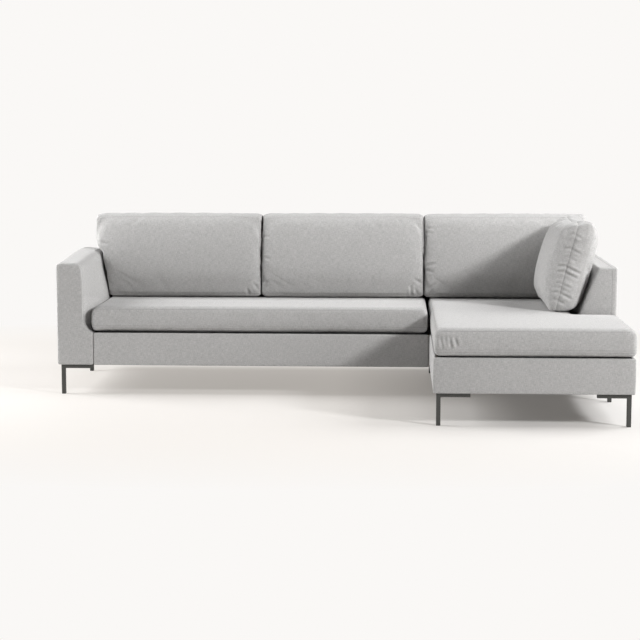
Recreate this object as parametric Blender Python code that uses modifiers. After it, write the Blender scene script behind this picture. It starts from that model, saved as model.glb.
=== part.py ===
"""Corner sofa: a main seat with a left arm and a chaise with a right arm, on metal bracket legs.

Metres, +Z up. The viewer's left arm is at -X and the chaise reaches towards -Y. The origin is on the
floor, below the middle of the whole sofa.
"""
from math import cos, radians, sqrt, tan

import bmesh
import bpy
from mathutils import Vector
from mathutils.bvhtree import BVHTree

# Overall sizes
WIDTH = 2.80
SOFA_DEPTH = 0.95
CHAISE_REACH = 0.80
CHAISE_WIDTH = 0.92

# Heights, from the floor upwards
LEG_HEIGHT = 0.150
BASE_HEIGHT = 0.165
SEAT_THICKNESS = 0.126
ARM_RISE = 0.352
BACK_RISE = 0.335
BACK_CUSHION_HEIGHT = 0.438

# Upholstered arms and back
LEFT_ARM_THICKNESS = 0.134
LEFT_ARM_FOOT = 0.183
RIGHT_ARM_TOP = 0.095
RIGHT_ARM_RAKE = radians(21.5)
RIGHT_ARM_LEAD = 0.13
BACK_TOP = 0.19
BACK_RAKE = radians(10)
COVER_WALL = 0.016
COVER_CORNER = 0.024
PANEL = 0.018
BASE_CORNER = 0.012
PANEL_EDGE = 0.006

# Cushions
SEAT_ARM_GAP = 0.034
SEAT_OVERHANG = 0.007
SEAT_CROWN = 0.007
CROWN_REACH = 0.16
SEAT_EDGE = 0.03
BACK_CUSHION_WIDTH = 0.868
BACK_CUSHION_THICKNESS = 0.225
BACK_JOINT_SHIFT = 0.020
LEFT_CUSHION_INSET = 0.038
LEFT_CUSHION_SPREAD = 0.074
RIGHT_CUSHION_SPREAD = 0.128
SIDE_CUSHION_LENGTH = 0.65
SIDE_CUSHION_HEIGHT = 0.442
SIDE_CUSHION_THICKNESS = 0.230
SIDE_CUSHION_LEAN = radians(14)
CUSHION_GAP = 0.003
CUSHION_DRAW_IN = 0.007
SIDE_CUSHION_GAP = 0.008
UPRIGHT_EDGE = 0.04
RIM_SHARE = 0.72

# Timber, webbing and cloth
RAIL = 0.022
BOARD = 0.018
BACK_BOARD = 0.006
ARM_RAIL = 0.044
STRAP = 0.0025
STRAP_WIDTH = 0.07
DECK = 0.0015
DUST_COVER = 0.0012
MAIN_STRAPS = 3
CHAISE_STRAPS = 3

# Legs and connector plates
TUBE = 0.020
TUBE_EDGE = 0.0015
LEG_BAR = 0.155
LEG_BAR_DEPTH = 0.018
LEG_INSET = 0.016
REAR_LEG_INSET = 0.172
PLATE = 0.003
PLATE_LENGTH = 0.12
PLATE_WIDTH = 0.04
PLATE_FROM_FRONT = 0.10

# Gaps: touching hard pieces, soft pieces that rest on something, and the joint between the two units
CLEARANCE = 0.0003
SOFT_CLEARANCE = 0.0006
UNIT_GAP = 0.002
CUT_MARGIN = 0.02

# Where loose cushions start before they are settled: above the seat, and in front of the back
DROP = 0.10
BACK_CUSHION_START = 0.02

# Planes that the pieces share
x_left = -WIDTH / 2
x_right = WIDTH / 2
x_shell_right = x_right - SEAT_OVERHANG
x_split = x_right - CHAISE_WIDTH
y_rear = (SOFA_DEPTH + CHAISE_REACH) / 2
y_front = y_rear - SOFA_DEPTH
y_chaise = y_front - CHAISE_REACH
z_base = LEG_HEIGHT
z_deck = z_base + BASE_HEIGHT
z_seat = z_deck + SEAT_THICKNESS
z_arm = z_deck + ARM_RISE
z_back = z_deck + BACK_RISE
arm_slope = tan(RIGHT_ARM_RAKE)
back_slope = tan(BACK_RAKE)
y_arm = y_front - RIGHT_ARM_LEAD
y_back_top = y_rear - BACK_TOP
y_back_foot = y_back_top - back_slope * (z_back - z_deck)
x_arm_foot = x_shell_right - RIGHT_ARM_TOP - arm_slope * (z_arm - z_deck)
z_frame = z_deck - DECK - STRAP - 2 * CLEARANCE
edge_depth = max(COVER_WALL, PANEL) + CLEARANCE

scene = bpy.context.scene
for leftover in list(bpy.data.objects):
    bpy.data.objects.remove(leftover, do_unlink=True)
sofa = bpy.data.collections.new("corner_sofa")
scene.collection.children.link(sofa)
cutters = bpy.data.collections.new("cutters")
scene.collection.children.link(cutters)


def level_wall(slope):
    """A cover's wall measured level, on a side that slopes."""
    return COVER_WALL * sqrt(1 + slope ** 2)


def finish(name, colour, roughness, metallic=0.0):
    """One plain material."""
    made = bpy.data.materials.new(name)
    made.use_nodes = True
    shader = made.node_tree.nodes["Principled BSDF"]
    shader.inputs["Base Color"].default_value = (*colour, 1.0)
    shader.inputs["Roughness"].default_value = roughness
    shader.inputs["Metallic"].default_value = metallic
    return made


upholstery = finish("grey_upholstery", (0.36, 0.355, 0.345), 0.95)
cushion_cloth = finish("light_grey_cushion_cloth", (0.43, 0.425, 0.415), 0.95)
timber = finish("pine_timber", (0.62, 0.45, 0.27), 0.7)
webbing = finish("elastic_webbing", (0.12, 0.11, 0.10), 0.9)
lining = finish("black_lining", (0.03, 0.03, 0.03), 0.95)
leg_metal = finish("dark_grey_leg_metal", (0.07, 0.07, 0.068), 0.45, 0.6)
steel = finish("zinc_plated_steel", (0.55, 0.56, 0.58), 0.35, 0.9)


def add_object(name, shape, surface, location=(0, 0, 0)):
    """Puts a bmesh into the sofa's collection as an object with one material."""
    mesh = bpy.data.meshes.new(name)
    shape.to_mesh(mesh)
    shape.free()
    mesh.materials.append(surface)
    made = bpy.data.objects.new(name, mesh)
    made.location = location
    sofa.objects.link(made)
    return made


def box_shape(size, slopes=None):
    """A box about its own middle. A slope moves one side out at the bottom, by slope times height."""
    slopes = slopes or {}
    shape = bmesh.new()
    bmesh.ops.create_cube(shape, size=1.0)
    bmesh.ops.scale(shape, vec=size, verts=shape.verts)
    for vert in shape.verts:
        if vert.co.z < 0:
            vert.co.x += (slopes.get("right", 0) if vert.co.x > 0 else -slopes.get("left", 0)) * size.z
            vert.co.y += (slopes.get("rear", 0) if vert.co.y > 0 else -slopes.get("front", 0)) * size.z
    return shape


def box(name, low, high, surface, slopes=None):
    """A board, rail, strap or sheet between two corners, whose low corner is given at the top."""
    low, high = Vector(low), Vector(high)
    return add_object(name, box_shape(high - low, slopes), surface, (low + high) / 2)


def padded_panel(name, low, high, rounded, radius):
    """An upholstered board. Rounded names edges by the sides that they lie on, such as (0, -1, 1)."""
    low, high = Vector(low), Vector(high)
    shape = box_shape(high - low)
    chosen = []
    for edge in shape.edges:
        middle = (edge.verts[0].co + edge.verts[1].co) / 2
        if tuple((value > CLEARANCE) - (value < -CLEARANCE) for value in middle) in rounded:
            chosen.append(edge)
    bmesh.ops.bevel(shape, geom=chosen, offset=radius, segments=4, profile=0.5, affect="EDGES")
    return add_object(name, shape, upholstery, (low + high) / 2)


def hollow_cover(name, low, high, slopes=None, outer=None):
    """A padded cover over a frame: its upright and top edges are rounded, and it is hollow from below.

    The cavity's sides keep one wall to the outside, also where a side slopes.
    """
    slopes = slopes or {}
    low, high = Vector(low), Vector(high)
    middle = (low + high) / 2
    shape = outer or box_shape(high - low, slopes)
    bottom = low.z - middle.z + CLEARANCE
    rounded = [
        edge for edge in shape.edges
        if edge.calc_face_angle(0) > radians(30) and any(vert.co.z > bottom for vert in edge.verts)
    ]
    bmesh.ops.bevel(shape, geom=rounded, offset=COVER_CORNER, segments=4, profile=0.5, affect="EDGES",
                    clamp_overlap=True)
    cover = add_object(name, shape, upholstery, middle)

    def inward(side):
        slope = slopes.get(side, 0)
        return level_wall(slope) - slope * COVER_WALL

    cavity_low = Vector((low.x + inward("left"), low.y + inward("front"), low.z - CUT_MARGIN))
    cavity_high = Vector((high.x - inward("right"), high.y - inward("rear"), high.z - COVER_WALL))
    cavity = add_object(f"{name}_cavity", box_shape(cavity_high - cavity_low, slopes), lining,
                        (cavity_low + cavity_high) / 2)
    sofa.objects.unlink(cavity)
    cutters.objects.link(cavity)
    cavity.hide_render = True
    cavity.display_type = "WIRE"
    cut = cover.modifiers.new("cavity", "BOOLEAN")
    cut.operation = "DIFFERENCE"
    cut.object = cavity
    return cover


def grow(shape, faces, move):
    """Draws faces of a closed shape out by a move, and returns the faces that end it."""
    grown = bmesh.ops.extrude_face_region(shape, geom=faces)["geom"]
    bmesh.ops.delete(shape, geom=[face for face in faces if face.is_valid], context="FACES_ONLY")
    moved = [item for item in grown if isinstance(item, bmesh.types.BMVert)]
    bmesh.ops.translate(shape, vec=move, verts=moved)
    shape.normal_update()
    return [item for item in grown if isinstance(item, bmesh.types.BMFace)]


def cut_across(shape, point, direction):
    """Adds a loop of edges where a plane crosses the shape."""
    everything = shape.verts[:] + shape.edges[:] + shape.faces[:]
    bmesh.ops.bisect_plane(shape, geom=everything, plane_co=point, plane_no=direction)


def spread(low, high, count):
    """Count places, evenly spaced between low and high with half a step left at each end."""
    step = (high - low) / count
    return [low + step * (index + 0.5) for index in range(count)]


def build_left_arm():
    """The upright arm, with a wider foot beside the seat, and its timber frame."""
    low = Vector((x_left, y_front, z_base + CLEARANCE))
    high = Vector((x_left + LEFT_ARM_THICKNESS, y_rear, z_arm))
    middle = (low + high) / 2
    shape = box_shape(high - low)
    cut_across(shape, Vector((0, 0, z_deck)) - middle, (0, 0, 1))
    cut_across(shape, Vector((0, y_back_foot, 0)) - middle, (0, 1, 0))
    foot_faces = [
        face for face in shape.faces
        if face.normal.x > 0.9
        and face.calc_center_median().z + middle.z < z_deck
        and face.calc_center_median().y + middle.y < y_back_foot
    ]
    grow(shape, foot_faces, (LEFT_ARM_FOOT - LEFT_ARM_THICKNESS, 0, 0))
    hollow_cover("left_arm_cover", low, high, outer=shape)

    inner_low = x_left + COVER_WALL + CLEARANCE
    inner_high = x_left + LEFT_ARM_THICKNESS - COVER_WALL - CLEARANCE
    y_start, y_end = y_front + COVER_WALL + CLEARANCE, y_rear - COVER_WALL - CLEARANCE
    board_top = z_arm - COVER_WALL - CLEARANCE
    box("left_arm_outer_board", (inner_low, y_start, low.z), (inner_low + BOARD, y_end, board_top), timber)
    box("left_arm_inner_board", (inner_high - BOARD, y_start, low.z), (inner_high, y_end, board_top), timber)
    box("left_arm_top_rail", (inner_low + BOARD + CLEARANCE, y_start, board_top - RAIL),
        (inner_high - BOARD - CLEARANCE, y_end, board_top), timber)


def build_right_arm():
    """The wedge-shaped arm that stands on the chaise's base, and its timber frame."""
    low = Vector((x_shell_right - RIGHT_ARM_TOP, y_arm, z_deck + CLEARANCE))
    high = Vector((x_shell_right, y_rear, z_arm))
    hollow_cover("right_arm_cover", low, high, {"left": arm_slope})

    y_start, y_end = y_arm + COVER_WALL + CLEARANCE, y_rear - edge_depth
    board_top = z_arm - COVER_WALL - CLEARANCE
    board_low = z_frame + CLEARANCE
    outer = x_shell_right - edge_depth
    box("right_arm_outer_board", (outer - BOARD, y_start, board_low), (outer, y_end, board_top), timber)
    inner = low.x - arm_slope * (z_arm - board_top) + level_wall(arm_slope) + CLEARANCE
    box("right_arm_inner_board", (inner, y_start, board_low), (inner + BOARD, y_end, board_top), timber,
        {"left": arm_slope, "right": -arm_slope})
    box("right_arm_top_rail", (inner + BOARD + CLEARANCE, y_start, board_top - RAIL),
        (outer - BOARD - CLEARANCE, y_end, board_top), timber)


def build_back(unit, x_low, x_high, x_first_post, right_slope=0.0):
    """One unit's raked back: a hollow cover, two posts, a flat top rail and a raked board in front."""
    low = Vector((x_low, y_back_top, z_deck + CLEARANCE))
    high = Vector((x_high + right_slope * (z_back - z_deck), y_rear, z_back))
    hollow_cover(f"{unit}_back_cover", low, high, {"front": back_slope, "right": -right_slope})

    rail_top = z_back - COVER_WALL - CLEARANCE
    post_top = rail_top - RAIL - CLEARANCE
    x_start, x_end = x_low + COVER_WALL + CLEARANCE, x_high - level_wall(right_slope) - CLEARANCE
    board_depth = BACK_BOARD / cos(BACK_RAKE)
    y_inside = y_back_top + level_wall(back_slope) + CLEARANCE
    y_post = y_inside - back_slope * (z_back - post_top) + board_depth + CLEARANCE
    y_post_rear = y_rear - edge_depth
    for side, x_post in (("left", max(x_first_post, x_start)), ("right", x_end - RAIL)):
        box(f"{unit}_back_{side}_post", (x_post, y_post, z_frame + CLEARANCE),
            (x_post + RAIL, y_post_rear, post_top), timber, {"front": back_slope})
    box(f"{unit}_back_top_rail", (x_start, y_inside, rail_top - RAIL), (x_end, y_post_rear, rail_top), timber)
    y_board = y_inside - back_slope * (z_back - post_top)
    box(f"{unit}_back_board", (x_start, y_board, z_deck + CLEARANCE),
        (x_end, y_board + board_depth, post_top), timber,
        {"front": back_slope, "rear": -back_slope})


def build_bases():
    """Both units' timber base frames, webbing, decks, dust covers and upholstered sides."""
    z_frame_low = z_base + DUST_COVER + 2 * CLEARANCE
    z_strap = z_frame + CLEARANCE
    z_deck_low = z_deck - DECK
    behind = PANEL + CLEARANCE

    def rail(name, x_low, x_high, y_low, y_high):
        return box(name, (x_low, y_low, z_frame_low), (x_high, y_high, z_frame), timber)

    # Main unit
    x_low, x_high = x_left + LEFT_ARM_FOOT + CLEARANCE, x_split - UNIT_GAP
    y_low, y_high = y_front + behind, y_rear - behind
    x_rear_cover = x_left + LEFT_ARM_THICKNESS + CLEARANCE
    padded_panel("main_front_cover", (x_low, y_front, z_base + CLEARANCE), (x_high, y_front + PANEL, z_deck),
                 [(0, -1, -1), (0, -1, 1)], PANEL_EDGE)
    padded_panel("main_rear_cover", (x_rear_cover, y_rear - PANEL, z_base + CLEARANCE),
                 (x_high, y_rear, z_deck), [(0, 1, -1)], PANEL_EDGE)
    rail("main_front_rail", x_low, x_high, y_low, y_low + RAIL)
    rail("main_rear_rail", x_low, x_high, y_high - RAIL, y_high)
    y_between = y_low + RAIL + CLEARANCE, y_high - RAIL - CLEARANCE
    rail("main_left_rail", x_low, x_low + RAIL, *y_between)
    rail("main_right_rail", x_high - RAIL, x_high, *y_between)
    x_middle = (x_low + x_high) / 2
    rail("main_stretcher", x_middle - RAIL / 2, x_middle + RAIL / 2, *y_between)
    for index, x_strap in enumerate(spread(x_low + RAIL, x_high - RAIL, MAIN_STRAPS)):
        box(f"main_webbing_strap_{index + 1}", (x_strap - STRAP_WIDTH / 2, y_low, z_strap),
            (x_strap + STRAP_WIDTH / 2, y_high, z_strap + STRAP), webbing)
    box("main_deck_cloth", (x_low, y_low, z_deck_low), (x_high, y_back_foot - CLEARANCE, z_deck), lining)
    box("main_dust_cover", (x_low, y_low, z_base + CLEARANCE),
        (x_high, y_high, z_base + CLEARANCE + DUST_COVER), lining)

    # Chaise unit
    y_cover = y_chaise + SEAT_OVERHANG
    padded_panel("chaise_front_cover", (x_split, y_cover, z_base + CLEARANCE),
                 (x_shell_right, y_cover + PANEL, z_deck),
                 [(-1, -1, 0), (1, -1, 0)], BASE_CORNER)
    y_side = y_cover + PANEL + CLEARANCE
    for side, x_outer, inward in (("left", x_split, 1), ("right", x_shell_right, -1)):
        x_pair = sorted((x_outer, x_outer + inward * PANEL))
        padded_panel(f"chaise_{side}_cover", (x_pair[0], y_side, z_base + CLEARANCE),
                     (x_pair[1], y_rear, z_deck), [(-inward, 0, -1)], PANEL_EDGE)
    x_low, x_high = x_split + behind, x_shell_right - behind
    padded_panel("chaise_rear_cover", (x_low, y_rear - PANEL, z_base + CLEARANCE), (x_high, y_rear, z_deck),
                 [(0, 1, -1)], PANEL_EDGE)
    y_low = y_cover + behind
    rail("chaise_front_rail", x_low, x_high, y_low, y_low + RAIL)
    rail("chaise_rear_rail", x_low, x_high, y_high - RAIL, y_high)
    y_between = y_low + RAIL + CLEARANCE, y_high - RAIL - CLEARANCE
    rail("chaise_left_rail", x_low, x_low + RAIL, *y_between)
    rail("chaise_right_rail", x_high - RAIL, x_high, *y_between)
    x_webbed = x_arm_foot + level_wall(arm_slope) - arm_slope * (z_deck - z_frame)
    rail("chaise_arm_rail", x_webbed - ARM_RAIL / 2, x_webbed + ARM_RAIL / 2, *y_between)
    for index, y_strap in enumerate(spread(y_low + RAIL, y_back_foot, CHAISE_STRAPS)):
        box(f"chaise_webbing_strap_{index + 1}", (x_low, y_strap - STRAP_WIDTH / 2, z_strap),
            (x_webbed, y_strap + STRAP_WIDTH / 2, z_strap + STRAP), webbing)
    deck_lines_x = [x_low, x_arm_foot - CLEARANCE, x_high]
    deck_lines_y = [y_low, y_arm - CLEARANCE, y_back_foot - CLEARANCE]
    deck = cell_shape(deck_lines_x, deck_lines_y, [z_deck_low, z_deck], notch=(1, 1))
    add_object("chaise_deck_cloth", deck, lining)
    box("chaise_dust_cover", (x_low, y_low, z_base + CLEARANCE),
        (x_high, y_high, z_base + CLEARANCE + DUST_COVER), lining)


def cell_shape(lines_x, lines_y, levels, notch=None):
    """A slab of cells between the given lines. The cells past the notch's column and row are left out."""
    columns, rows = len(lines_x) - 1, len(lines_y) - 1
    shape = bmesh.new()
    bmesh.ops.create_grid(shape, x_segments=columns, y_segments=rows, size=0.5)
    for vert in shape.verts:
        vert.co.x = lines_x[round((vert.co.x + 0.5) * columns)]
        vert.co.y = lines_y[round((vert.co.y + 0.5) * rows)]
        vert.co.z = levels[0]
    if notch:
        x_notch, y_notch = lines_x[notch[0]], lines_y[notch[1]]
        cut_away = [
            face for face in shape.faces
            if face.calc_center_median().x > x_notch and face.calc_center_median().y > y_notch
        ]
        bmesh.ops.delete(shape, geom=cut_away, context="FACES")
    bmesh.ops.reverse_faces(shape, faces=shape.faces[:])
    underside = bmesh.ops.duplicate(shape, geom=shape.faces[:])
    layer = [item for item in underside["geom"] if isinstance(item, bmesh.types.BMFace)]
    for low, high in zip(levels, levels[1:]):
        layer = grow(shape, layer, (0, 0, high - low))
    bmesh.ops.remove_doubles(shape, verts=shape.verts[:], dist=CLEARANCE / 10)
    bmesh.ops.recalc_face_normals(shape, faces=shape.faces[:])
    return shape


def even_lines(low, high, count):
    """The lines that split a stretch into count equal cells."""
    return [low + (high - low) * index / count for index in range(count + 1)]


def edge_lines(low, high, count, edge=SEAT_EDGE):
    """The lines of count cells, of which the first and the last are narrow and turn over an edge."""
    return [low, *even_lines(low + edge, high - edge, count - 2), high]


def soften(cushion):
    """Turns a cushion's coarse cage into a soft form."""
    smoothing = cushion.modifiers.new("soft_form", "SUBSURF")
    smoothing.levels = 1
    smoothing.render_levels = 1
    for face in cushion.data.polygons:
        face.use_smooth = True


def rise(distance):
    """A crown's height as a share of its full height, at a distance in from the cushion's edge."""
    inside = min(max(distance / CROWN_REACH, 0.0), 1.0)
    return 1 - (1 - inside) ** 2


def seat_cushion(name, lines_x, lines_y, notch=None):
    """A box cushion, crowned: its top falls off towards its edges, and more gently below the back cushions.

    Its cage has three layers, so that the boxed edge bulges a little at half height.
    """
    low, high = z_deck + SOFT_CLEARANCE, z_seat
    shape = cell_shape(lines_x, lines_y, [low, (low + high) / 2, high], notch)
    x_low, x_high, y_low, y_high = lines_x[0], lines_x[-1], lines_y[0], lines_y[-1]
    x_inner = lines_x[notch[0]] if notch else x_high
    y_inner = lines_y[notch[1]] if notch else y_high
    rear_share = CROWN_REACH / (CROWN_REACH + BACK_CUSHION_THICKNESS)
    for vert in shape.verts:
        x, y, z = vert.co
        corner = max(x_inner - x, y_inner - y) if notch else x_high - x
        to_right = min(x_high - x, corner)
        inward = min(x - x_low, to_right, y - y_low, (y_high - y) * rear_share)
        if z > high - CLEARANCE:
            vert.co.z += SEAT_CROWN * rise(inward)
        at_half_height = low + CLEARANCE < z < high - CLEARANCE
        along_front = abs(y - y_low) < CLEARANCE
        if along_front and not at_half_height:
            x_share = (x - x_low) / (x_high - x_low)
            vert.co.y += CUSHION_DRAW_IN * 4 * x_share * (1 - x_share)
        beside_arm = notch and abs(x - x_inner) < CLEARANCE and y > y_inner - CLEARANCE
        if beside_arm:
            vert.co.x += arm_slope * (z - low)
    cushion = add_object(name, shape, cushion_cloth)
    soften(cushion)
    return cushion


def upright_cushion(name, bottom, top, height, thickness, lean):
    """A loose cushion that stands on its edge, about its own middle: X across, Z up, Y through it.

    bottom and top are its left and right ends there. Both faces are crowned, the edges are drawn in
    between the corners, and the whole form leans back with its height, its upper edge level.
    """
    width = bottom[1] - bottom[0]
    lines_across = edge_lines(0, 1, 8, UPRIGHT_EDGE / width)
    lines_upward = edge_lines(0, 1, 6, UPRIGHT_EDGE / height)
    shape = cell_shape(lines_across, lines_upward, [-1, 0, 1])
    for vert in shape.verts:
        across, upward, through = vert.co
        left = bottom[0] + (top[0] - bottom[0]) * upward
        right = bottom[1] + (top[1] - bottom[1]) * upward
        bulge_x = 1 - (2 * across - 1) ** 4
        bulge_z = 1 - (2 * upward - 1) ** 4
        half = thickness / 2 * (RIM_SHARE + (1 - RIM_SHARE) * bulge_x * bulge_z)
        rim = 2 * CUSHION_DRAW_IN if through else 0.0
        x = left + (right - left) * across
        x += rim * (1 - 2 * across) * 4 * upward * (1 - upward)
        z = (upward - 0.5) * height
        z += rim * (1 - 2 * upward) * 4 * across * (1 - across)
        y = through * half + lean * (upward - 0.5) * height
        vert.co = (x, y, z)
    shape.normal_update()
    bmesh.ops.recalc_face_normals(shape, faces=shape.faces[:])
    cushion = add_object(name, shape, cushion_cloth)
    soften(cushion)
    return cushion


def shape_tree(piece):
    """A piece's finished surface in the sofa's own axes: its corners and a tree to cast rays on."""
    finished = piece.evaluated_get(bpy.context.evaluated_depsgraph_get())
    mesh = finished.to_mesh()
    corners = [piece.matrix_world @ vert.co for vert in mesh.vertices]
    tree = BVHTree.FromPolygons(corners, [tuple(face.vertices) for face in mesh.polygons])
    finished.to_mesh_clear()
    return corners, tree


def settle(piece, supports, direction, gap):
    """Moves a soft piece along a direction until it lies the gap away from what it rests on."""
    bpy.context.view_layer.update()
    direction = Vector(direction)
    corners, tree = shape_tree(piece)
    nearest = []
    for support in supports:
        support_corners, support_tree = shape_tree(support)
        nearest += [support_tree.ray_cast(corner, direction)[3] for corner in corners]
        nearest += [tree.ray_cast(corner, -direction)[3] for corner in support_corners]
    travel = min(distance for distance in nearest if distance is not None) - gap
    piece.location += direction * travel
    bpy.context.view_layer.update()


def build_cushions():
    """The two seat cushions, the three back cushions and the side cushion."""
    y_seat_rear = y_back_foot - CUSHION_GAP
    x_seat_left = x_left + LEFT_ARM_THICKNESS + SEAT_ARM_GAP
    main_x = edge_lines(x_seat_left, x_split - CUSHION_GAP, 12)
    main_seat = seat_cushion("main_seat_cushion", main_x, edge_lines(y_front, y_seat_rear, 7))

    x_notch = x_arm_foot - CUSHION_GAP
    y_notch = y_arm - CUSHION_GAP
    chaise_x = [*edge_lines(x_split, x_notch, 6), *edge_lines(x_notch, x_right, 3)[1:]]
    chaise_y = [*edge_lines(y_chaise, y_notch, 6), *edge_lines(y_notch, y_seat_rear, 7)[1:]]
    chaise_seat = seat_cushion("chaise_seat_cushion", chaise_x, chaise_y, notch=(6, 6))

    back_covers = [bpy.data.objects[f"{unit}_back_cover"] for unit in ("main", "chaise")]
    seats = [main_seat, chaise_seat]
    x_arm_at_seat = x_arm_foot + arm_slope * SEAT_THICKNESS
    low_ends = [
        x_left + LEFT_ARM_THICKNESS + LEFT_CUSHION_INSET,
        x_split - BACK_JOINT_SHIFT - BACK_CUSHION_WIDTH,
        x_split - BACK_JOINT_SHIFT,
        x_arm_at_seat - CUSHION_GAP,
    ]
    high_ends = [
        low_ends[0] - LEFT_CUSHION_SPREAD,
        low_ends[1],
        low_ends[2],
        low_ends[3] + RIGHT_CUSHION_SPREAD,
    ]
    middle_height = z_seat + SEAT_CROWN + BACK_CUSHION_HEIGHT / 2
    y_back = y_back_foot + back_slope * (middle_height - z_deck)
    y_before_back = y_back - BACK_CUSHION_THICKNESS / 2 - BACK_CUSHION_START
    for index, name in enumerate(("left", "middle", "right")):
        low_gap = CUSHION_GAP / 2 if index else 0
        high_gap = CUSHION_GAP / 2 if index < 2 else 0
        middle = (low_ends[index] + low_ends[index + 1]) / 2
        bottom = low_ends[index] + low_gap - middle, low_ends[index + 1] - high_gap - middle
        top = high_ends[index] + low_gap - middle, high_ends[index + 1] - high_gap - middle
        cushion = upright_cushion(f"{name}_back_cushion", bottom, top, BACK_CUSHION_HEIGHT,
                                  BACK_CUSHION_THICKNESS, back_slope)
        cushion.location = middle, y_before_back, middle_height + DROP
        settle(cushion, seats, (0, 0, -1), SOFT_CLEARANCE)
        settle(cushion, back_covers, (0, 1, 0), SOFT_CLEARANCE)

    half_length = SIDE_CUSHION_LENGTH / 2
    side = upright_cushion("side_cushion", (-half_length, half_length), (-half_length, half_length),
                           SIDE_CUSHION_HEIGHT, SIDE_CUSHION_THICKNESS, tan(SIDE_CUSHION_LEAN))
    side.rotation_euler = 0, 0, radians(-90)
    right_cushion = bpy.data.objects["right_back_cushion"]
    right_arm = bpy.data.objects["right_arm_cover"]
    down_the_arm = Vector((-arm_slope, 0, -1)).normalized()
    side.location = x_notch - SIDE_CUSHION_HEIGHT, y_arm, middle_height + DROP
    settle(side, [chaise_seat], (0, 0, -1), SOFT_CLEARANCE)
    settle(side, [right_arm], (1, 0, 0), SOFT_CLEARANCE)
    settle(side, [right_cushion], (0, 1, 0), SIDE_CUSHION_GAP)
    settle(side, [chaise_seat], down_the_arm, SOFT_CLEARANCE)


def build_leg(name, x_corner, y_corner, x_inward, y_inward):
    """A bracket leg: a post under the corner, and at its top a bar along each side of the corner."""
    shape = bmesh.new()
    bmesh.ops.create_cube(shape, size=1.0)
    bmesh.ops.scale(shape, vec=(TUBE, TUBE, LEG_BAR_DEPTH), verts=shape.verts)
    bar = LEG_BAR - TUBE
    post = LEG_HEIGHT - LEG_BAR_DEPTH
    for direction, length in (((x_inward, 0, 0), bar), ((0, y_inward, 0), bar), ((0, 0, -1), post)):
        direction = Vector(direction)
        side = [
            face for face in shape.faces
            if face.normal.dot(direction) > 0.9 and face.calc_center_median().length < TUBE
        ]
        grow(shape, side, direction * length)
    x_middle = x_corner + x_inward * TUBE / 2
    y_middle = y_corner + y_inward * TUBE / 2
    leg = add_object(name, shape, leg_metal, (x_middle, y_middle, LEG_HEIGHT - LEG_BAR_DEPTH / 2))
    edges = leg.modifiers.new("tube_edges", "BEVEL")
    edges.width = TUBE_EDGE
    edges.segments = 1
    edges.limit_method = "ANGLE"


def build_legs():
    """Seven legs: four at corners, one below the right arm's front and two at the rear."""
    left, right = x_left + LEG_INSET, x_shell_right - LEG_INSET
    rear = y_rear - REAR_LEG_INSET
    chaise_front = y_chaise + SEAT_OVERHANG + LEG_INSET
    build_leg("front_left_leg", left, y_front + LEG_INSET, 1, 1)
    build_leg("rear_left_leg", left, rear, 1, 1)
    build_leg("chaise_front_left_leg", x_split + LEG_INSET, chaise_front, 1, 1)
    build_leg("chaise_front_right_leg", right, chaise_front, -1, 1)
    build_leg("right_arm_leg", right, y_arm + LEG_INSET, -1, 1)
    build_leg("rear_right_leg", right, rear, -1, 1)
    build_leg("rear_middle_leg", x_split + LEG_INSET, rear, 1, 1)


def build_connectors():
    """Two steel plates below the bases, across the joint between the units."""
    for index, y_start in enumerate((y_front + PLATE_FROM_FRONT, y_back_foot - PLATE_WIDTH)):
        box(f"unit_connector_plate_{index + 1}", (x_split - PLATE_LENGTH / 2, y_start, z_base - PLATE),
            (x_split + PLATE_LENGTH / 2, y_start + PLATE_WIDTH, z_base), steel)


build_left_arm()
build_right_arm()
build_bases()
build_back("main", x_left + LEFT_ARM_THICKNESS + CUSHION_GAP, x_split - UNIT_GAP,
           x_left + LEFT_ARM_FOOT + CLEARANCE)
build_back("chaise", x_split, x_arm_foot - CUSHION_GAP, x_split + edge_depth, arm_slope)
build_cushions()
build_legs()
build_connectors()
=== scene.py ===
"""Looks of the corner sofa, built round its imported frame.

Metres, in the frame's own axes: the viewer is at -Y, the left arm is at -X and up is +Z.
"""
from itertools import product
from math import cos, pi, radians, sin, tan

import bmesh
import bpy
import numpy as np
from mathutils import Matrix, Vector, noise
from mathutils.bvhtree import BVHTree


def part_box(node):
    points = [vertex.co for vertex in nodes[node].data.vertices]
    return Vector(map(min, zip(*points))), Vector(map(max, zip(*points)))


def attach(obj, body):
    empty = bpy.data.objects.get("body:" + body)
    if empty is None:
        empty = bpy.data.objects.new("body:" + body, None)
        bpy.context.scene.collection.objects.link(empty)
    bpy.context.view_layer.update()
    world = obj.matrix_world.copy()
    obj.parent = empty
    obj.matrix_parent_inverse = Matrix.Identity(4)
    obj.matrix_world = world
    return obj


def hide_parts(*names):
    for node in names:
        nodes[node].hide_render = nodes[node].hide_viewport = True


# Camera, fitted to corners and leg feet read from the photograph
CAMERA_PLACE = (0.301, -8.076, 1.362)
CAMERA_PITCH = radians(6.94)
CAMERA_YAW = radians(2.64)
CAMERA_LENS = 90.5

# Lean of the back cushions and of the side cushion, and rake of the right arm, as in the solids
BACK_SLOPE = tan(radians(10))
SIDE_LEAN = radians(14)
ARM_SLOPE = tan(radians(21.5))

# Height of the seats below the back cushions
SEAT_AT_BACK = 0.4385

# Lengths that count as nought
SAME_PLACE = 1e-6
TINY = 1e-9

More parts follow.
